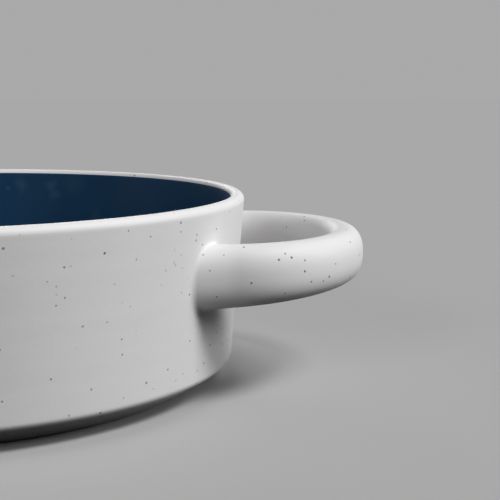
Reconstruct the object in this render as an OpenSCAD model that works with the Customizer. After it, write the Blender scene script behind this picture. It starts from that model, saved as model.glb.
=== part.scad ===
// Lug soup bowl: a stoneware bowl with a loop lug luted to each side of its wall,
// glazed white outside and navy inside, standing on the bare ring of its turned foot.
// Millimetres, +Z up, the origin at the centre of the plane that the foot rests on.
// The lugs lie along X. Sizes are of the fired and glazed bowl.

/* [Bowl] */
// Diameter over the rim at its widest
rim_d = 163; // [130:1:220]
// Height from the table to the top of the rim
bowl_h = 48.5; // [42:0.5:90]
// Thickness of the rounded lip
lip_t = 3.7; // [3:0.1:6]
// Slope of the outer wall from vertical, in degrees
outer_taper = 5; // [1:0.5:10]
// Slope of the inner wall from vertical, in degrees
inner_taper = 6.5; // [5:0.5:12]
// Thickness of the floor between the liner and the underside
floor_t = 5.5; // [4:0.1:9]
// Radius of the cove between the inner wall and the floor
cove_r = 12; // [5:0.5:20]

/* [Foot] */
// Width of the bevel that runs in from the wall to the foot ring
bevel_w = 10.4; // [6:0.2:16]
// Slope of that bevel from the table, in degrees
bevel_angle = 30; // [20:1:40]
// Radius of the edge where the wall turns under into the bevel
edge_r = 2.2; // [1.5:0.1:4]
// Width of the foot ring where it meets the table
foot_w = 4.5; // [3:0.1:8]
// Depth of the hollow inside the foot ring
hollow_h = 2.2; // [1.9:0.1:4]
// Slope of the hollow's side from the table, in degrees
hollow_angle = 60; // [45:1:75]
// Radius of the cove round the hollow
hollow_r = 1.6; // [1:0.1:2.4]
// Radius that is sponged onto both edges of the foot ring
foot_edge_r = 0.7; // [0.3:0.1:1.2]

/* [Lugs] */
// How far a lug stands out past the rim
lug_out = 31.2; // [24:0.2:45]
// Width over both arms of a lug
lug_w = 82; // [58:0.5:95]
// Height of the lug's section where its bow starts
lug_h = 15; // [9:0.1:18]
// How much lower that section is at the lug's tip
lug_thin = 1.9; // [0:0.1:3]
// Thickness of the lug's section
lug_t = 9.7; // [7:0.1:13]
// How square that section is: 2 is a true oval
lug_square = 2.3; // [2:0.1:3]
// Drop from the top of the rim to the middle of a lug where its bow starts
lug_drop = 16.6; // [13:0.1:20]
// Rise of a lug's middle from the start of its bow to its tip
lug_rise = 1.2; // [0:0.1:4]
// Straight length of an arm on its finger side, from the wall to the bow
lug_arm = 4; // [3:0.1:10]
// Radius of the fillet by which a lug grows out of the wall
root_r = 1.4; // [0.8:0.1:1.7]

/* [Glaze and slip] */
// Thickness of the fired glaze
glaze_t = 0.5; // [0.3:0.05:0.9]
// Height above the table at which the white glaze stops on the bevel
glaze_stop_h = 1.1; // [0.8:0.1:2]
// Angle up the inside of the lip at which navy meets white, in degrees
navy_edge_angle = 26; // [0:1:45]
// Depth of the slip in the scored pocket of a lug's end
slip_t = 0.8; // [0.4:0.1:1.5]

/* [Hidden] */

CLAY = "#cdbfa9";
SLIP = "#b8a88f";
WHITE = "#eceae6";
NAVY = "#17294a";

// A lug's end stands this far off the wall's true curve, so that its flat facets clear it
seat_gap = 0.05;
// Size of a slip pocket against the lug's end that it is scored into
pocket_share = 0.75;
// Size of the ring halfway in across a pocket's roof, against the lug's end
roof_share = 0.4;

arc_steps = 12;
section_sides = 24;
bow_steps = 24;
fillet_steps = 4;
$fn = 180;

rim_r = rim_d / 2;
lip_r = lip_t / 2;
lip_c = [rim_r - lip_r, bowl_h - lip_r];
floor_z = hollow_h + floor_t;

// Straight lines of the profile, each an outward normal and its distance from the origin
wall_n = [cos(outer_taper), -sin(outer_taper)];
wall_c = wall_n * lip_c + lip_r;
bevel_n = [sin(bevel_angle), -cos(bevel_angle)];
corner_z = bevel_w * tan(bevel_angle);
foot_r = wall_r(corner_z, glaze_t) - bevel_w;
bevel_c = bevel_n * [foot_r, 0] + glaze_t;
rest_n = [0, -1];
hollow_n = [-sin(hollow_angle), -cos(hollow_angle)];
hollow_c = hollow_n * [foot_r - foot_w, 0];
inner_n = [cos(inner_taper), -sin(inner_taper)];
inner_c = inner_n * lip_c - lip_r;

// Centres of the profile's arcs
edge_c = meet(wall_n, wall_c - edge_r, bevel_n, bevel_c - edge_r);
foot_out_c = meet(bevel_n, bevel_c - glaze_t - foot_edge_r, rest_n, -foot_edge_r);
foot_in_c = meet(hollow_n, hollow_c - foot_edge_r, rest_n, -foot_edge_r);
hollow_cove_c = meet(hollow_n, hollow_c + glaze_t + hollow_r, rest_n, hollow_r - hollow_h);
cove_c = meet(inner_n, inner_c - cove_r, [0, 1], floor_z + cove_r);

// Directions, as angles in the profile's plane
navy_edge = 180 - navy_edge_angle;
bevel_out = bevel_angle - 90;
bevel_down = bevel_angle - 180;
hollow_in = -90 - hollow_angle;
hollow_up = 90 - hollow_angle;
hollow_down = -hollow_angle;

// Where the coats stop on the foot's clay: on the bevel, and halfway up the hollow's straight side
outer_stop = [foot_r + glaze_stop_h / tan(bevel_angle), glaze_stop_h];
hollow_stop = (on_arc(foot_in_c, foot_edge_r, hollow_in)
    + on_arc(hollow_cove_c, hollow_r + glaze_t, hollow_up)) / 2;

// Sizes of a lug, which follow from the wall that it stands on
arm_y = (lug_w - lug_t) / 2;
lug_z = bowl_h - lug_drop;
bow_x = wall_x(arm_y - lug_t / 2, lug_z, 0) + lug_arm;
bow_depth = rim_r + lug_out - lug_t / 2 - bow_x;
root_x = wall_x(arm_y, lug_z, glaze_t);
root_z = lug_mid_z(root_x);

function unit(v) = v / norm(v);

// The point where two lines meet, each given by its normal and its distance
function meet(n1, c1, n2, c2) =
    [c1 * n2.y - c2 * n1.y, n1.x * c2 - n2.x * c1] / (n1.x * n2.y - n1.y * n2.x);

function on_arc(c, r, a) = c + r * [cos(a), sin(a)];

function arc(c, r, from, to) = [for (i = [0:arc_steps]) on_arc(c, r, from + (to - from) * i / arc_steps)];

function backwards(list) = [for (i = [len(list) - 1:-1:0]) list[i]];

// Radius of the outer wall at a height, taken in from the glazed surface by an inset
function wall_r(z, inset) = (wall_c - inset + sin(outer_taper) * z) / cos(outer_taper);

// How far out along X that wall is, at a place across and up
function wall_x(y, z, inset) = sqrt(wall_r(z, inset) ^ 2 - y ^ 2);

// Height of the middle of a lug, which climbs as it goes out
function lug_mid_z(x) = lug_z + lug_rise * (x - bow_x) / bow_depth;

// Half the height of a lug's section, which thins as it goes out
function lug_half_h(x) = (lug_h - lug_thin * (x - bow_x) / bow_depth) / 2;

// Outside of the bowl from the navy edge over the lip and down to the bevel
function outside(inset) = concat(
    arc(lip_c, lip_r - inset, navy_edge, -outer_taper),
    arc(edge_c, edge_r - inset, -outer_taper, bevel_out)
);

// Inside of the bowl from the navy edge down the wall and over the cove to the axis
function inside(inset) = concat(
    arc(lip_c, lip_r - inset, navy_edge, 180 - inner_taper),
    arc(cove_c, cove_r + inset, -inner_taper, -90),
    [[0, floor_z - inset]]
);

// Hollow under the bowl from the foot ring to the axis
function hollow(inset) = concat(
    arc(hollow_cove_c, hollow_r + inset, hollow_up, 90),
    [[0, hollow_h + inset]]
);

// Bare foot ring, from the bevel to the hollow
function foot() = concat(
    arc(foot_out_c, foot_edge_r, bevel_out, -90),
    arc(foot_in_c, foot_edge_r, -90, hollow_in)
);

// How far the lug's squarish oval section reaches along an axis, and how far its normal does,
// from the cosine or sine of a turn round it
function reach(share) = sign(share) * abs(share) ^ (2 / lug_square);
function facing(share) = sign(share) * abs(share) ^ (2 - 2 / lug_square);

// One ring of the lug's section round its bow, at an angle from the tip
function bow_ring(t, inset) =
    let (
        mid = [bow_x + bow_depth * cos(t), arm_y * sin(t)],
        out = unit([arm_y * cos(t), bow_depth * sin(t)])
    )
    [for (k = [0:section_sides - 1]) let (
        a = 360 * k / section_sides,
        across = (lug_t / 2 - inset) * reach(cos(a)),
        up = (lug_half_h(mid.x) - inset) * reach(sin(a))
    ) [mid.x + out.x * across, mid.y + out.y * across, lug_mid_z(mid.x) + up]];

// One ring of the root fillet, from the arm at share 0 to the wall at share 1.
// Each point turns round an arc that is tangent to its own line of the arm and to the wall.
function root_ring(side, share, inset, wall_inset) =
    let (half_t = lug_t / 2 - inset, half_h = lug_half_h(root_x) - inset)
    [for (k = [0:section_sides - 1]) let (
        a = 360 * k / section_sides,
        y = side * (arm_y + half_t * reach(cos(a))),
        z = root_z + half_h * reach(sin(a)),
        out = unit([side * facing(cos(a)) / half_t, facing(sin(a)) / half_h]),
        x = wall_x(y, z, wall_inset),
        slope = (wall_r(z, wall_inset) * tan(outer_taper) * out.y - y * out.x) / x,
        wedge = acos(slope / sqrt(1 + slope ^ 2)),
        turn = -90 - share * (180 - wedge),
        away = root_r * (1 + sin(turn)),
        px = x + root_r / tan(wedge / 2) + root_r * cos(turn),
        py = y + away * out.x,
        pz = lug_mid_z(px) + (lug_half_h(px) - inset) * reach(sin(a)) + away * out.y
    ) [share < 1 ? px : wall_x(py, pz, wall_inset), py, pz]];

function root(side, inset, wall_inset) =
    [for (i = [0:fillet_steps]) root_ring(side, i / fillet_steps, inset, wall_inset)];

function bow(inset) = [for (i = [0:bow_steps]) bow_ring(180 * i / bow_steps - 90, inset)];

// A ring drawn in towards the middle of its root and laid over the wall at a height above it
function over_wall(ring, side, share, above) =
    [for (p = ring) let (
        y = side * arm_y + share * (p.y - side * arm_y),
        z = root_z + share * (p.z - root_z)
    ) [wall_x(y, z, glaze_t - seat_gap) + above, y, z]];

// The glazed outline of a root on the wall, and the clay's outline under it
function glazed_root(side) = root_ring(side, 1, 0, 0);
function clay_root(side) = root_ring(side, 1, glaze_t, glaze_t - seat_gap);

// Rings of the slip pocket in a lug's end, from its mouth to its roof
function pocket(side) = let (end = clay_root(side)) [
    over_wall(end, side, pocket_share, 0),
    over_wall(end, side, pocket_share, slip_t),
    over_wall(end, side, roof_share, slip_t)
];

// The clay loop from the front pocket's roof round to the back one's
function clay_lug() = concat(
    backwards(pocket(-1)),
    backwards(root(-1, glaze_t, glaze_t - seat_gap)),
    bow(glaze_t),
    root(1, glaze_t, glaze_t - seat_gap),
    pocket(1)
);

// The coat round that loop: out over its glazed face and back along the clay
function lug_coat() = concat(
    backwards(root(-1, 0, 0)),
    bow(0),
    root(1, 0, 0),
    [over_wall(glazed_root(1), 1, 1, 0)],
    backwards(root(1, glaze_t, glaze_t - seat_gap)),
    backwards(bow(glaze_t)),
    root(-1, glaze_t, glaze_t - seat_gap),
    [over_wall(glazed_root(-1), -1, 1, 0)]
);

function slip_pad(side) = let (end = clay_root(side)) concat(
    [over_wall(end, side, roof_share, 0)],
    pocket(side)
);

function middle(ring) = [for (axis = [0:2]) [for (p = ring) p[axis]] * [for (p = ring) 1] / len(ring)];

// Two triangles for each side of the band between two rings
function band(from, to) = [for (k = [0:section_sides - 1])
    let (a = from * section_sides, b = to * section_sides, next = (k + 1) % section_sides)
    each [[a + k, a + next, b + next], [a + k, b + next, b + k]]];

function fan(centre, ring, flip) = [for (k = [0:section_sides - 1])
    let (a = ring * section_sides + k, b = ring * section_sides + (k + 1) % section_sides)
    flip ? [centre, b, a] : [centre, a, b]];

// A solid through rings, closed by a fan over its first and last ring
module loft(rings) {
    last = len(rings) - 1;
    centre = len(rings) * section_sides;
    polyhedron(
        concat([for (r = rings) each r], [middle(rings[0]), middle(rings[last])]),
        concat(
            [for (i = [0:last - 1]) each band(i, i + 1)],
            fan(centre, 0, true),
            fan(centre + 1, last, false)
        )
    );
}

// A hollow tube through rings that come back to the first one
module sleeve(rings) {
    polyhedron(
        [for (r = rings) each r],
        [for (i = [0:len(rings) - 1]) each band(i, (i + 1) % len(rings))]
    );
}

module spin(points) {
    rotate_extrude() polygon(points);
}

module bowl_body() {
    color(CLAY) spin(concat(
        backwards(outside(glaze_t)),
        inside(glaze_t),
        backwards(hollow(glaze_t)),
        backwards(foot())
    ));
}

// The opening that a root leaves in the coat on the wall
module root_opening(side) {
    rotate([90, 0, 90])
        linear_extrude(rim_r)
            polygon([for (p = glazed_root(side)) [p.y, p.z]]);
}

module outer_glaze() {
    color(WHITE) difference() {
        spin(concat(
            outside(0),
            arc(outer_stop, glaze_t, bevel_out, bevel_down),
            backwards(outside(glaze_t))
        ));
        for (turn = [0, 180], side = [-1, 1]) rotate(turn) root_opening(side);
    }
}

module liner_glaze() {
    color(NAVY) spin(concat(inside(0), backwards(inside(glaze_t))));
}

module base_glaze() {
    color(WHITE) spin(concat(
        arc(hollow_stop, glaze_t, hollow_down, hollow_in),
        hollow(0),
        backwards(hollow(glaze_t))
    ));
}

module lug() {
    color(CLAY) loft(clay_lug());
}

module lug_glaze() {
    color(WHITE) sleeve(lug_coat());
}

module slip(side) {
    color(SLIP) loft(slip_pad(side));
}

bowl_body();
outer_glaze();
liner_glaze();
base_glaze();
lug();  // right_lug
rotate(180) lug();  // left_lug
lug_glaze();  // right_lug_glaze
rotate(180) lug_glaze();  // left_lug_glaze
slip(-1);  // right_front_slip
slip(1);  // right_back_slip
rotate(180) slip(1);  // left_front_slip
rotate(180) slip(-1);  // left_back_slip
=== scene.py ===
"""Looks of the lug soup bowl: its fired glazes and bare clay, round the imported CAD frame.

Sizes are millimetres and angles are radians, as in the part's own frame: +Z up, the table at
z = 0, the lugs along X. A mesh is turned into metres when it is made.
"""

import math

import bmesh
import bpy
import numpy as np
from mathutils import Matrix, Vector


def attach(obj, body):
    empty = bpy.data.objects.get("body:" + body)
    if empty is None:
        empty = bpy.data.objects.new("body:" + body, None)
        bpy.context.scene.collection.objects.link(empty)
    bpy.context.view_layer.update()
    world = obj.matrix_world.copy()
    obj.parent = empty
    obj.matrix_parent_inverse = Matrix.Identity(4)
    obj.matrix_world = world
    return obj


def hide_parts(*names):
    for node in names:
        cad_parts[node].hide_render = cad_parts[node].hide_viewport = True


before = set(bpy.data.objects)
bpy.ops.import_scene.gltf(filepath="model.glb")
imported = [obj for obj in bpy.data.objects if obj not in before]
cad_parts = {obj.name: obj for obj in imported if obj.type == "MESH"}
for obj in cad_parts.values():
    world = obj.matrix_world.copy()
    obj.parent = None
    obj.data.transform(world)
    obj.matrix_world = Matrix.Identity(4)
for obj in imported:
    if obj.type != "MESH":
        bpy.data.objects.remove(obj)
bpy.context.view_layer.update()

MM = 0.001

# Bowl
RIM_R = 81.5
BOWL_H = 48.5
LIP_R = 1.85
OUTER_TAPER = math.radians(5)
INNER_TAPER = math.radians(6.5)
FLOOR_T = 5.5
COVE_R = 12

# Foot
BEVEL_W = 10.4
BEVEL_ANGLE = math.radians(30)
EDGE_R = 2.2
FOOT_W = 4.5
HOLLOW_H = 2.2
HOLLOW_ANGLE = math.radians(60)
HOLLOW_R = 1.6
FOOT_EDGE_R = 0.7

# Lugs
LUG_OUT = 31.2
LUG_W = 82
LUG_H = 15
LUG_THIN = 1.9
LUG_T = 9.7
LUG_SQUARE = 2.3
LUG_DROP = 16.6
LUG_RISE = 1.2
LUG_ARM = 4
ROOT_R = 1.4
# Wall between a root's fillet and the edge of the patch round it: over and under it, and beside it
PATCH_MARGIN_H = 3
PATCH_MARGIN_W = 5

# Glaze
GLAZE_T = 0.5
GLAZE_STOP_H = 1.1
NAVY_EDGE_ANGLE = math.radians(26)
# A root's fillet is tighter on top, where glaze runs off, and wider below, where it pools. It is
# widest on its outer side, where a thumb smooths the joint. Each is a share of the fillet's radius.
POOL_SHARE = 0.45
THUMB_SHARE = 0.6
# How far an arm's outer side flares on its way to the root, where clay is pressed onto the wall
ROOT_FLARE = 1.15

# Pale clouds in the navy of the far wall: where each lies, how far it reaches and how strong it is
CLOUDS = (
    ((8, 77, 42.5), 1.2, 0.7),
    ((12.5, 76, 43.5), 3, 0.6),
    ((22, 74, 44), 3.2, 0.9),
    ((23, 73.5, 41), 2.8, 0.6),
    ((30, 71.5, 44.5), 5, 0.4),
)

# Faint rings that the maker's fingers leave in the clay: their depth, the heights of the waves in
# two trains, and how far the slow train is shifted, as an angle
RING_DEPTH = 0.006
RING_PITCH = 5.2
RING_PITCH_SLOW = 8.9
RING_SHIFT = 1

# Colours of the finishes, as red, green, blue and an alpha of 1
WHITE_DULL = (0.79, 0.781, 0.789, 1)
WHITE_BRIGHT = (0.83, 0.821, 0.83, 1)
SPECK_HALO = (0.44, 0.42, 0.48, 1)
SPECK_CORE = (0.04, 0.036, 0.054, 1)
NAVY_DEEP = (0.005, 0.043, 0.1, 1)
NAVY_LIGHT = (0.008, 0.055, 0.128, 1)
NAVY_CLOUD = (0.16, 0.27, 0.36, 1)
NAVY_FLECK = (0.06, 0.13, 0.22, 1)
CLAY_BROWN = (0.5, 0.42, 0.32, 1)
CLAY_BUFF = (0.62, 0.54, 0.43, 1)
CLAY_SAND = (0.36, 0.29, 0.21, 1)
CLAY_GRAIN = (0.1, 0.07, 0.05, 1)
SLIP_DARK = (0.4, 0.33, 0.25, 1)
SLIP_PALE = (0.54, 0.46, 0.36, 1)

# The smallest speck, as a share of the largest, and how strongly the boldest one is drawn
SMALLEST_SPECK = 0.75
BOLDEST_SPECK = 0.95
# The wall's specks give way to the lugs' own between these two radii
WALL_SPECKS_R = RIM_R - 1
LUG_SPECKS_R = RIM_R + 3
# How strongly each thing is drawn over the colour under it
HALO_SHARE = 0.25
CLOUD_SHARE = 0.18
SCATTERED_SHARE = 0.8
FLECK_SHARE = 0.3
SAND_SHARE = 0.35
# How much deeper a speck sits than the glaze round it, as a share of the pits' depth
SPECK_PIT_SHARE = 0.5
# What a noise colour is on average, and how the slip's noise is drawn out into upright strokes
NOISE_MIDDLE = (0.5, 0.5, 0.5)
STROKE_STRETCH = (1, 1, 0.2)

# Points closer than this become one, and an edge turned by more than this angle stays crisp
WELD = 0.002
CRISP_ANGLE = math.radians(40)

# How finely the meshes follow their curves
LIP_STEPS = 20
EDGE_STEPS = 12
ROLL_STEPS = 5
COVE_STEPS = 24
RIM_ROWS = 5
SKIRT_ROWS = 14
BEVEL_ROWS = 6
LINER_ROWS = 40
FLOOR_ROWS = 40
HOLLOW_ROWS = 30
COLUMN_W = 2
PATCH_CELLS = 24
PATCH_RINGS = 6
BOW_STEPS = 72
ARM_STEPS = 4
FILLET_STEPS = 12

# The photograph's camera, and the plain studio round the bowl
CAMERA_PLACE = (69.63, -317.22, 78.13)
CAMERA_PITCH = math.radians(81.886)
CAMERA_TURN = math.radians(-2.433)
CAMERA_LENS = 87.32
SENSOR_W = 36
LAMP_SPREAD = math.radians(18)
# Each soft lamp: its direction from +X towards +Y, its height above the table, and its level
LAMPS = {
    "key": (math.radians(-15), math.radians(47), 1.68),
    "top": (math.radians(-45), math.radians(54), 0.86),
    "side": (math.radians(0), math.radians(20), 0.88),
    "front": (math.radians(-120), math.radians(22), 0.44),
    "back": (math.radians(100), math.radians(15), 0.45),
    "left": (math.radians(185), math.radians(12), 0.2),
}
SKY = (1, 1, 1, 1)
SKY_LEVEL = 0.05
BACKDROP_LEVEL = 0.4
FLOOR_SHOWN = (0.459, 0.459, 0.459, 1)
FLOOR_BOUNCE = (0.01, 0.01, 0.01, 1)
FLOOR_HALF = 4000
FLOOR_DROP = 0.05


# Profile of the bowl, as points (radius, height)

def heading(angle):
    """A direction of length 1."""
    return np.array([math.cos(angle), math.sin(angle)])


def meet(normal_1, distance_1, normal_2, distance_2):
    """The point where two lines meet, each given by its normal and its distance from the origin."""
    return np.linalg.solve([normal_1, normal_2], [distance_1, distance_2])


def arc(centre, radius, start, stop, steps):
    """Points along an arc between two angles."""
    angles = np.linspace(start, stop, steps + 1)[:, None]
    return centre + radius * np.hstack([np.cos(angles), np.sin(angles)])


def straight(start, stop, steps):
    """Even steps between two points, or between two rings of points."""
    return np.linspace(start, stop, steps + 1)


def joined(*stretches):
    """One line of points through stretches that each start where the last one ends."""
    return np.concatenate([stretches[0], *[stretch[1:] for stretch in stretches[1:]]])


LIP_C = np.array([RIM_R - LIP_R, BOWL_H - LIP_R])
WALL_N = heading(-OUTER_TAPER)
WALL_C = WALL_N @ LIP_C + LIP_R


def wall_r(z, inset=0):
    """Radius of the outer wall at a height, taken in from its glazed surface by an inset."""
    return (WALL_C - inset + math.sin(OUTER_TAPER) * z) / math.cos(OUTER_TAPER)


def wall_point(z, inset):
    """The outer wall's point of the profile at a height."""
    return np.array([wall_r(z, inset), z])


FLOOR_Z = HOLLOW_H + FLOOR_T
REST_N = heading(-math.pi / 2)
INNER_N = heading(-INNER_TAPER)
INNER_C = INNER_N @ LIP_C - LIP_R
BEVEL_OUT = BEVEL_ANGLE - math.pi / 2
BEVEL_N = heading(BEVEL_OUT)
FOOT_R = wall_r(BEVEL_W * math.tan(BEVEL_ANGLE), GLAZE_T) - BEVEL_W
BEVEL_C = BEVEL_N[0] * FOOT_R + GLAZE_T
HOLLOW_IN = -math.pi / 2 - HOLLOW_ANGLE
HOLLOW_N = heading(HOLLOW_IN)
HOLLOW_C = HOLLOW_N[0] * (FOOT_R - FOOT_W)
NAVY_EDGE = math.pi - NAVY_EDGE_ANGLE

EDGE_C = meet(WALL_N, WALL_C - EDGE_R, BEVEL_N, BEVEL_C - EDGE_R)
COVE_C = meet(INNER_N, INNER_C - COVE_R, -REST_N, FLOOR_Z + COVE_R)
HOLLOW_COVE_C = meet(HOLLOW_N, HOLLOW_C + GLAZE_T + HOLLOW_R, REST_N, HOLLOW_R - HOLLOW_H)
FOOT_IN_C = meet(HOLLOW_N, HOLLOW_C - FOOT_EDGE_R, REST_N, -FOOT_EDGE_R)

# Where the coats stop on the foot's clay: on the bevel, and halfway up the hollow's side
OUTER_STOP = np.array([FOOT_R + GLAZE_STOP_H / math.tan(BEVEL_ANGLE), GLAZE_STOP_H])
HOLLOW_FOOT = FOOT_IN_C + FOOT_EDGE_R * HOLLOW_N
HOLLOW_HEAD = HOLLOW_COVE_C - (HOLLOW_R + GLAZE_T) * HOLLOW_N
HOLLOW_STOP = (HOLLOW_FOOT + HOLLOW_HEAD) / 2

# Lug sizes that follow from the wall
ARM_Y = (LUG_W - LUG_T) / 2
LUG_Z = BOWL_H - LUG_DROP
BOW_X = math.sqrt(wall_r(LUG_Z) ** 2 - (ARM_Y - LUG_T / 2) ** 2) + LUG_ARM
BOW_DEPTH = RIM_R + LUG_OUT - LUG_T / 2 - BOW_X


def lug_mid_z(x):
    """Height of the middle of a lug, which climbs as it goes out."""
    return LUG_Z + LUG_RISE * (x - BOW_X) / BOW_DEPTH


def lug_half_h(x):
    """Half the height of a lug's section, which thins as it goes out."""
    return (LUG_H - LUG_THIN * (x - BOW_X) / BOW_DEPTH) / 2


ROOT_X = math.sqrt(wall_r(LUG_Z, GLAZE_T) ** 2 - ARM_Y ** 2)
ROOT_Z = lug_mid_z(ROOT_X)

# The patch of wall round each root, where square cells of the wall give way to rings of the lug
ROOT_TURN = math.asin(ARM_Y / wall_r(ROOT_Z))
PATCH_HALF_H = lug_half_h(ROOT_X) + ROOT_R + PATCH_MARGIN_H
PATCH_HALF_TURN = (LUG_T / 2 + ROOT_R + PATCH_MARGIN_W) / wall_r(ROOT_Z)
PATCH_TOP = ROOT_Z + PATCH_HALF_H
PATCH_FOOT = ROOT_Z - PATCH_HALF_H
RING_SIDES = 4 * PATCH_CELLS


def raised(share, power):
    """Shares from -1 to 1 raised to a power, with their signs kept."""
    return np.sign(share) * np.abs(share) ** power


# Turns round the lug's squarish oval section: how far it reaches across and up, how its face is
# turned, and how much each of its lines flares and is rounded at the root
RING_TURNS = np.linspace(0, 2 * math.pi, RING_SIDES + 1)
ACROSS, UP = raised(np.array([np.cos(RING_TURNS), np.sin(RING_TURNS)]), 2 / LUG_SQUARE)
FACE_ACROSS, FACE_UP = raised(np.array([ACROSS, UP]), LUG_SQUARE - 1)
FLARE = np.where(ACROSS > 0, ROOT_FLARE, 0)
FILLET_R = ROOT_R * (1 - POOL_SHARE * UP + THUMB_SHARE * np.maximum(ACROSS, 0) ** 2)


# White coat: one skin over the lip, the wall, the bevel and both lugs

def outside_rows(inset):
    """Outside of the bowl from the navy edge over the lip and down the wall to the bevel."""
    lip = arc(LIP_C, LIP_R - inset, NAVY_EDGE, -OUTER_TAPER, LIP_STEPS)
    edge = arc(EDGE_C, EDGE_R - inset, -OUTER_TAPER, BEVEL_OUT, EDGE_STEPS)
    patch_top = wall_point(PATCH_TOP, inset)
    patch_foot = wall_point(PATCH_FOOT, inset)
    return joined(
        lip,
        straight(lip[-1], patch_top, RIM_ROWS),
        straight(patch_top, patch_foot, PATCH_CELLS),
        straight(patch_foot, edge[0], SKIRT_ROWS),
        edge,
    )


def glazed_rows():
    """The coat's finished face, which ends in a round roll on the bevel."""
    rows = outside_rows(0)
    roll = arc(OUTER_STOP, GLAZE_T, BEVEL_OUT, BEVEL_OUT - math.pi / 2, ROLL_STEPS)
    return joined(rows, straight(rows[-1], roll[0], BEVEL_ROWS), roll)


def clay_rows():
    """The coat's hidden face on the clay, with as many rows as the finished one."""
    rows = outside_rows(GLAZE_T)
    return joined(rows, straight(rows[-1], OUTER_STOP, BEVEL_ROWS + ROLL_STEPS))


def spread(start, stop):
    """Directions from start to stop, about a column's width apart on the wall."""
    return np.linspace(start, stop, math.ceil((stop - start) * RIM_R / COLUMN_W) + 1)


def wall_columns():
    """Stretches of directions round the half of the bowl that carries the right lug."""
    near, far = ROOT_TURN - PATCH_HALF_TURN, ROOT_TURN + PATCH_HALF_TURN
    patch = np.linspace(near, far, PATCH_CELLS + 1)
    side = spread(far, math.pi / 2)
    return [-side[::-1], -patch[::-1], spread(-near, near), patch, side]


def turned(rows, columns):
    """A grid of points: profile rows turned to each direction of the columns."""
    r, z = rows[:, :1], rows[:, 1:]
    x = r * np.cos(columns)
    y = r * np.sin(columns)
    return np.stack([x, y, np.broadcast_to(z, x.shape)], axis=2)


def bow_ring(turn, inset):
    """A ring of the lug's section round its bow, at an angle from the tip."""
    mid_x = BOW_X + BOW_DEPTH * math.cos(turn)
    mid_y = ARM_Y * math.sin(turn)
    out = np.array([ARM_Y * math.cos(turn), BOW_DEPTH * math.sin(turn)])
    out /= np.linalg.norm(out)
    across = (LUG_T / 2 - inset) * ACROSS
    x = mid_x + out[0] * across
    y = mid_y + out[1] * across
    z = lug_mid_z(mid_x) + (lug_half_h(mid_x) - inset) * UP
    return np.stack([x, y, z], axis=1)


def root_ring(side, share, inset):
    """A ring of the root fillet, from the arm at share 0 to the wall at share 1.

    Each point turns round an arc that is tangent to its own line of the arm and to the wall.
    """
    half_t = LUG_T / 2 - inset + FLARE
    half_h = lug_half_h(ROOT_X) - inset
    y = side * (ARM_Y + half_t * ACROSS)
    out = np.stack([side * FACE_ACROSS / half_t, FACE_UP / half_h])
    out /= np.linalg.norm(out, axis=0)
    r = wall_r(ROOT_Z + half_h * UP, inset)
    x = np.sqrt(r ** 2 - y ** 2)
    slope = (r * math.tan(OUTER_TAPER) * out[1] - y * out[0]) / x
    wedge = np.arccos(slope / np.sqrt(1 + slope ** 2))
    turn = -math.pi / 2 - share * (math.pi - wedge)
    away = FILLET_R * (1 + np.sin(turn))
    ring_x = x + FILLET_R / np.tan(wedge / 2) + FILLET_R * np.cos(turn)
    ring_y = y + away * out[0]
    ring_z = lug_mid_z(ring_x) + (lug_half_h(ring_x) - inset) * UP + away * out[1]
    if share == 1:
        ring_x = np.sqrt(wall_r(ring_z, inset) ** 2 - ring_y ** 2)
    return np.stack([ring_x, ring_y, ring_z], axis=1)


def root(side, inset):
    """The rings of a root fillet, from the arm to the wall."""
    return [root_ring(side, share, inset) for share in np.linspace(0, 1, FILLET_STEPS + 1)]


def lug_skin(inset):
    """The lug from its front root round the bow to its back root."""
    bow = [bow_ring(turn, inset) for turn in np.linspace(-math.pi / 2, math.pi / 2, BOW_STEPS + 1)]
    front, back = root(-1, inset), root(1, inset)
    front_arm = straight(front[0], bow[0], ARM_STEPS)
    back_arm = straight(bow[-1], back[0], ARM_STEPS)
    return joined(np.array(front[::-1]), front_arm, np.array(bow), back_arm, np.array(back))


def root_patch(side, inset):
    """The wall from a root's outline to the square of cells round it.

    The square is followed from the middle of its outer side, with its corners where they fall
    among the ring's steps.
    """
    corners = np.array([0, 0.5, 1.5, 2.5, 3.5, 4]) * PATCH_CELLS
    steps = np.arange(RING_SIDES + 1)
    square_across = np.interp(steps, corners, [1, 1, -1, -1, 1, 1])
    square_up = np.interp(steps, corners, [0, 1, 1, -1, -1, 0])
    square_turn = side * (ROOT_TURN + PATCH_HALF_TURN * square_across)
    square_z = ROOT_Z + PATCH_HALF_H * square_up
    ring_x, ring_y, ring_z = root_ring(side, 1, inset).T
    turn = np.linspace(np.arctan2(ring_y, ring_x), square_turn, PATCH_RINGS + 1)
    z = np.linspace(ring_z, square_z, PATCH_RINGS + 1)
    r = wall_r(z, inset)
    return np.stack([r * np.cos(turn), r * np.sin(turn), z], axis=2)


def half_skin(rows, inset):
    """Grids of one face of the coat, on the half of the bowl that carries the right lug."""
    first_patch_row = LIP_STEPS + RIM_ROWS
    above = rows[:first_patch_row + 1]
    below = rows[first_patch_row + PATCH_CELLS:]
    front_side, front_patch, finger_gap, back_patch, back_side = wall_columns()
    grids = [turned(rows, columns) for columns in (front_side, finger_gap, back_side)]
    grids += [turned(part, columns) for part in (above, below) for columns in (front_patch, back_patch)]
    return [*grids, root_patch(-1, inset), root_patch(1, inset), lug_skin(inset)]


def white_coat_grids():
    """Grids of both faces of the coat and of its two rims, all round the bowl."""
    glazed, clay = glazed_rows(), clay_rows()
    columns = joined(*wall_columns())
    rims = [turned(np.array([glazed[end], clay[end]]), columns) for end in (0, -1)]
    half = [*map(finger_rings, half_skin(glazed, 0)), *half_skin(clay, GLAZE_T), *rims]
    return [*half, *[grid * (-1, -1, 1) for grid in half]]


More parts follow.
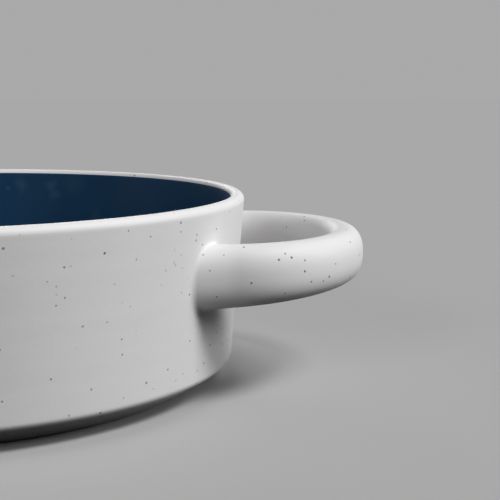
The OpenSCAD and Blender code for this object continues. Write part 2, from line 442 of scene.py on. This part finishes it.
def finger_rings(points):
    """Points of the glazed wall, moved out and in by its faint finger rings; a lug stays as it is."""
    z = points[..., 2]
    r = np.hypot(points[..., 0], points[..., 1])
    off_wall = np.clip(np.abs(r - wall_r(z)) / ROOT_R, 0, 1)
    wave = np.sin(2 * math.pi * z / RING_PITCH)
    wave += np.sin(2 * math.pi * z / RING_PITCH_SLOW + RING_SHIFT)
    push = 1 + RING_DEPTH * wave * (1 - off_wall) ** 2 / r
    return points * np.stack([push, push, np.ones_like(push)], axis=-1)


# Spun coats inside and under the bowl

def all_columns():
    """Directions all round the bowl."""
    half = joined(*wall_columns())
    return joined(half, half + math.pi)


def spun_grids(glazed, clay):
    """Grids of a coat from its edge to the axis: its finished face, its clay face and its edge."""
    columns = all_columns()
    edge = np.array([glazed[0], clay[0]])
    return [turned(rows, columns) for rows in (glazed, clay, edge)]


def liner_rows(inset):
    """Inside of the bowl from the navy edge down the wall and over the cove to the axis."""
    lip = arc(LIP_C, LIP_R - inset, NAVY_EDGE, math.pi - INNER_TAPER, LIP_STEPS)
    cove = arc(COVE_C, COVE_R + inset, -INNER_TAPER, -math.pi / 2, COVE_STEPS)
    middle = np.array([0, FLOOR_Z - inset])
    return joined(
        lip,
        straight(lip[-1], cove[0], LINER_ROWS),
        cove,
        straight(cove[-1], middle, FLOOR_ROWS),
    )


def hollow_rows(inset):
    """Hollow under the bowl from its cove to the axis."""
    cove = arc(HOLLOW_COVE_C, HOLLOW_R + inset, HOLLOW_IN + math.pi, math.pi / 2, EDGE_STEPS)
    middle = np.array([0, HOLLOW_H + inset])
    return joined(cove, straight(cove[-1], middle, HOLLOW_ROWS))


def base_grids():
    """Grids of the coat in the hollow, which starts in a round roll on the hollow's side."""
    glazed, clay = hollow_rows(0), hollow_rows(GLAZE_T)
    roll = arc(HOLLOW_STOP, GLAZE_T, HOLLOW_IN + math.pi / 2, HOLLOW_IN, ROLL_STEPS)
    glazed = joined(roll, straight(roll[-1], glazed[0], 1), glazed)
    clay = joined(straight(HOLLOW_STOP, clay[0], ROLL_STEPS + 1), clay)
    return spun_grids(glazed, clay)


# Nodes of the finishes

class Signal:
    """An output socket of a node. Arithmetic on it adds Math nodes."""

    def __init__(self, nodes, socket):
        self.nodes = nodes
        self.socket = socket

    def out(self, name):
        """Another output of the same node."""
        return Signal(self.nodes, self.socket.node.outputs[name])

    def __add__(self, other):
        return self.nodes.math("ADD", self, other)

    def __sub__(self, other):
        return self.nodes.math("SUBTRACT", self, other)

    def __rsub__(self, other):
        return self.nodes.math("SUBTRACT", other, self)

    def __mul__(self, other):
        return self.nodes.math("MULTIPLY", self, other)

    def __truediv__(self, other):
        return self.nodes.math("DIVIDE", self, other)

    def __rtruediv__(self, other):
        return self.nodes.math("DIVIDE", other, self)

    def __lt__(self, other):
        return self.nodes.math("LESS_THAN", self, other)

    __radd__ = __add__
    __rmul__ = __mul__


class Nodes:
    """The node tree of a material or a world."""

    # Sockets of a Mix node that works on colours
    MIX_SHARE, MIX_FROM, MIX_TO, MIX_RESULT = 0, 6, 7, 2

    def __init__(self, tree):
        self.tree = tree

    def feed(self, node, sockets):
        """Sets or links a node's inputs."""
        for name, value in sockets.items():
            if isinstance(value, Signal):
                self.tree.links.new(value.socket, node.inputs[name])
            else:
                node.inputs[name].default_value = value

    def node(self, kind, settings=None, sockets=None, output=0):
        """Adds a node: its type, its settings, its inputs, and which output is wanted."""
        made = self.tree.nodes.new("ShaderNode" + kind)
        for name, value in (settings or {}).items():
            setattr(made, name, value)
        self.feed(made, sockets or {})
        return Signal(self, made.outputs[output])

    def math(self, operation, *values):
        return self.node("Math", {"operation": operation}, dict(enumerate(values)))

    def vector(self, operation, sockets, output=0):
        return self.node("VectorMath", {"operation": operation}, sockets, output)

    def blend(self, share, start, end):
        """A colour between two colours."""
        sockets = {self.MIX_SHARE: share, self.MIX_FROM: start, self.MIX_TO: end}
        return self.node("Mix", {"data_type": "RGBA"}, sockets, self.MIX_RESULT)

    def ramp(self, value, start, end):
        """A smooth step: 0 where the value is at start, 1 where it is at end."""
        sockets = {"Value": value, "From Min": start, "From Max": end}
        return self.node("MapRange", {"interpolation_type": "SMOOTHSTEP"}, sockets)

    def place(self):
        """The point on the piece, in millimetres of the part's frame."""
        point = self.node("TexCoord", output="Object")
        return self.vector("SCALE", {0: point, "Scale": 1 / MM})

    def noise(self, place, size, detail=2, output=0):
        """Cloudy noise whose clouds are about that many millimetres apart."""
        sockets = {"Vector": place, "Scale": 1 / size, "Detail": detail}
        return self.node("TexNoise", {}, sockets, output)

    def bump(self, height, depth):
        """The normal of a surface that rises by that depth, in millimetres, where the height is 1."""
        return self.node("Bump", {}, {"Height": height, "Distance": depth * MM})


def new_finish(name):
    """A new material, with its nodes and its shader."""
    material = bpy.data.materials.new(name)
    material.use_nodes = True
    return material, Nodes(material.node_tree), material.node_tree.nodes["Principled BSDF"]


def specks(nodes, place, spacing, radius, kept, faintest=0.5, core=0.2):
    """Round soft-edged specks, some fainter than others: near 1 in a strong one, 0 between them.

    The specks are balls on points about that far apart, of which a share is kept. Out to the
    core, a share of its radius, a speck is at its full strength.
    """
    cells = nodes.node("TexVoronoi", {}, {"Vector": place, "Scale": 1 / spacing})
    dice = nodes.node("SeparateColor", {}, {"Color": cells.out("Color")})
    size = radius * (SMALLEST_SPECK + (1 - SMALLEST_SPECK) * dice.out("Green"))
    reach = cells * spacing / size
    strength = faintest + (BOLDEST_SPECK - faintest) * dice.out("Blue")
    return nodes.ramp(reach, 1, core) * strength * (dice.out("Red") < kept)


def ragged(nodes, place, size, reach):
    """The place, shaken a little, so that what is drawn there gets an uneven outline."""
    shake = nodes.noise(place, size, 1, "Color")
    shake = nodes.vector("SUBTRACT", {0: shake, 1: NOISE_MIDDLE})
    shake = nodes.vector("SCALE", {0: shake, "Scale": reach})
    return nodes.vector("ADD", {0: place, 1: shake})


def on_a_lug(nodes, place):
    """1 on a lug, 0 on the bowl's own wall."""
    flat = nodes.vector("MULTIPLY", {0: place, 1: (1, 1, 0)})
    r = nodes.vector("LENGTH", {0: flat}, "Value")
    return nodes.ramp(r, WALL_SPECKS_R, LUG_SPECKS_R)


def speckled_white_glaze():
    """Satin white glaze with dark slate-blue specks, which are bolder on the lugs."""
    material, nodes, shader = new_finish("speckled_white_glaze")
    place = nodes.place()
    uneven = ragged(nodes, place, size=0.6, reach=0.22)
    lug = on_a_lug(nodes, place)
    kept = 0.2 - 0.07 * lug
    faintest = 0.2 + 0.5 * lug
    bold = specks(nodes, uneven, spacing=1.6, radius=0.42, kept=kept, faintest=faintest, core=0.4)
    cloud = nodes.noise(place, size=14)
    white = nodes.blend(cloud, WHITE_DULL, WHITE_BRIGHT)
    haloed = nodes.blend(HALO_SHARE * bold, white, SPECK_HALO)
    speckled = nodes.blend(bold, haloed, SPECK_CORE)
    skin = nodes.noise(place, size=1.1, detail=3)
    nodes.feed(shader, {
        "Base Color": speckled,
        "Roughness": 0.4 + 0.1 * cloud + 0.05 * skin,
        "Normal": nodes.bump(skin - SPECK_PIT_SHARE * bold, depth=0.02),
        "Specular IOR Level": 0.2,
    })
    return material


def far_wall_clouds(nodes, place):
    """1 at the middle of a strong cloud on the far wall, 0 away from the clouds."""
    strength = 0
    for middle, reach, level in CLOUDS:
        away = nodes.vector("DISTANCE", {0: place, 1: middle}, "Value")
        strength = nodes.math("MAXIMUM", strength, nodes.ramp(away, reach, 0) * level)
    return strength


def clouded_navy_glaze():
    """Satin navy glaze, with a few faint pale clouds and pin-point lighter specks."""
    material, nodes, shader = new_finish("clouded_navy_glaze")
    place = nodes.place()
    pooling = nodes.noise(place, size=17, detail=3)
    navy = nodes.blend(pooling, NAVY_DEEP, NAVY_LIGHT)
    uneven = ragged(nodes, place, size=4, reach=3)
    scattered = SCATTERED_SHARE * specks(nodes, uneven, spacing=11, radius=3.6, kept=0.35)
    clouds = nodes.math("MAXIMUM", scattered, far_wall_clouds(nodes, uneven))
    clouded = nodes.blend(CLOUD_SHARE * clouds, navy, NAVY_CLOUD)
    flecks = specks(nodes, place, spacing=3.4, radius=0.4, kept=0.3)
    flecked = nodes.blend(FLECK_SHARE * flecks, clouded, NAVY_FLECK)
    skin = nodes.noise(place, size=1.2, detail=3)
    nodes.feed(shader, {
        "Base Color": flecked,
        "Roughness": 0.42 + 0.12 * pooling,
        "Normal": nodes.bump(skin, depth=0.02),
        "Specular IOR Level": 0.12,
    })
    return material


def bare_stoneware():
    """Fired clay without glaze: sandy, matt, with a few dark grains."""
    material, nodes, shader = new_finish("bare_stoneware")
    place = nodes.place()
    sand = nodes.noise(place, size=0.5, detail=4)
    cloud = nodes.noise(place, size=9)
    clay = nodes.blend(cloud, CLAY_BROWN, CLAY_BUFF)
    sandy = nodes.blend(SAND_SHARE * nodes.ramp(sand, start=0.35, end=0.7), clay, CLAY_SAND)
    grains = specks(nodes, place, spacing=1.3, radius=0.16, kept=0.4)
    grained = nodes.blend(grains, sandy, CLAY_GRAIN)
    nodes.feed(shader, {
        "Base Color": grained,
        "Roughness": 0.78 + 0.15 * sand,
        "Normal": nodes.bump(sand, depth=0.12),
    })
    return material


def luting_slip():
    """Slip that joins a lug to the wall: smooth darker clay with the strokes of a brush."""
    material, nodes, shader = new_finish("luting_slip")
    place = nodes.place()
    drawn_out = nodes.vector("MULTIPLY", {0: place, 1: STROKE_STRETCH})
    stroke = nodes.noise(drawn_out, size=0.7, detail=3)
    slip = nodes.blend(stroke, SLIP_DARK, SLIP_PALE)
    nodes.feed(shader, {
        "Base Color": slip,
        "Roughness": 0.8 + 0.1 * stroke,
        "Normal": nodes.bump(stroke, depth=0.08),
    })
    return material


# Pieces of the bowl

def welded_mesh(name, grids):
    """A smooth closed mesh from grids of points that share their edges."""
    shape = bmesh.new()
    for grid in grids:
        corners = [[shape.verts.new(point * MM) for point in row] for row in grid]
        for row, next_row in zip(corners, corners[1:]):
            for quad in zip(row, row[1:], next_row[1:], next_row):
                shape.faces.new(quad)
    bmesh.ops.remove_doubles(shape, verts=shape.verts, dist=WELD * MM)
    bmesh.ops.recalc_face_normals(shape, faces=shape.faces)
    mesh = bpy.data.meshes.new(name)
    shape.to_mesh(mesh)
    shape.free()
    mesh.shade_smooth()
    mesh.set_sharp_from_angle(angle=CRISP_ANGLE)
    return mesh


def glaze_piece(name, grids, material, slot, *nodes):
    """A coat that rides on the bowl in the place of its CAD nodes."""
    piece = bpy.data.objects.new(name, welded_mesh(name, grids))
    bpy.context.scene.collection.objects.link(piece)
    piece.data.materials.append(material)
    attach(piece, "root")
    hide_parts(*nodes)


def dress_clay(material, slot, *nodes):
    """Gives CAD nodes whose shape stays a fired-clay finish."""
    for name in nodes:
        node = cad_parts[name]
        node.data.materials.clear()
        node.data.materials.append(material)


def bowl():
    """Puts the glaze coats on the bowl and gives its clay and slip their finishes."""
    white = speckled_white_glaze()
    navy = clouded_navy_glaze()
    glaze_piece(
        "white_coat", white_coat_grids(), white, "white_glaze",
        "outer_glaze", "right_lug_glaze", "left_lug_glaze",
    )
    liner_grids = spun_grids(liner_rows(0), liner_rows(GLAZE_T))
    glaze_piece("navy_liner", liner_grids, navy, "navy_glaze", "liner_glaze")
    glaze_piece("base_coat", base_grids(), white, "white_glaze", "base_glaze")
    dress_clay(bare_stoneware(), "stoneware", "bowl_body", "right_lug", "left_lug")
    dress_clay(
        luting_slip(), "slip",
        "right_front_slip", "right_back_slip", "left_front_slip", "left_back_slip",
    )


# Studio

def seen_plainly(nodes):
    """1 for what the camera sees, straight or in a reflection, 0 for light that bounces."""
    path = nodes.node("LightPath", output="Is Camera Ray")
    seen = path + path.out("Is Glossy Ray") + path.out("Is Transmission Ray")
    return nodes.math("MINIMUM", seen, 1)


def studio_floor():
    """A wide pale floor, a hair under the foot ring."""
    half = FLOOR_HALF * MM
    drop = -FLOOR_DROP * MM
    mesh = bpy.data.meshes.new("floor")
    corners = [(-half, -half, drop), (half, -half, drop), (half, half, drop), (-half, half, drop)]
    mesh.from_pydata(corners, [], [(0, 1, 2, 3)])
    floor = bpy.data.objects.new("floor", mesh)
    bpy.context.scene.collection.objects.link(floor)
    material, nodes, shader = new_finish("pale_floor")
    nodes.feed(shader, {
        "Base Color": nodes.blend(seen_plainly(nodes), FLOOR_BOUNCE, FLOOR_SHOWN),
        "Roughness": 1,
        "Specular IOR Level": 0,
    })
    mesh.materials.append(material)


def studio_world():
    """A faint even light from all round, and the pale backdrop that is seen behind the bowl."""
    world = bpy.data.worlds.new("studio")
    world.use_nodes = True
    nodes = Nodes(world.node_tree)
    nodes.feed(world.node_tree.nodes["Background"], {
        "Color": SKY,
        "Strength": SKY_LEVEL + (BACKDROP_LEVEL - SKY_LEVEL) * seen_plainly(nodes),
    })
    bpy.context.scene.world = world


def studio_lamps():
    for name, (turn, rise, level) in LAMPS.items():
        lamp = bpy.data.objects.new(name, bpy.data.lights.new(name, "SUN"))
        lamp.data.energy = level
        lamp.data.angle = LAMP_SPREAD
        lamp.rotation_euler = (math.pi / 2 - rise, 0, math.pi / 2 + turn)
        bpy.context.scene.collection.objects.link(lamp)


def studio_camera():
    camera = bpy.data.objects.new("camera", bpy.data.cameras.new("camera"))
    camera.data.lens = CAMERA_LENS
    camera.data.sensor_width = SENSOR_W
    camera.location = Vector(CAMERA_PLACE) * MM
    camera.rotation_euler = (CAMERA_PITCH, 0, CAMERA_TURN)
    bpy.context.scene.collection.objects.link(camera)
    bpy.context.scene.camera = camera


bowl()
studio_floor()
studio_world()
studio_lamps()
studio_camera()
bpy.context.scene.view_settings.view_transform = "Standard"
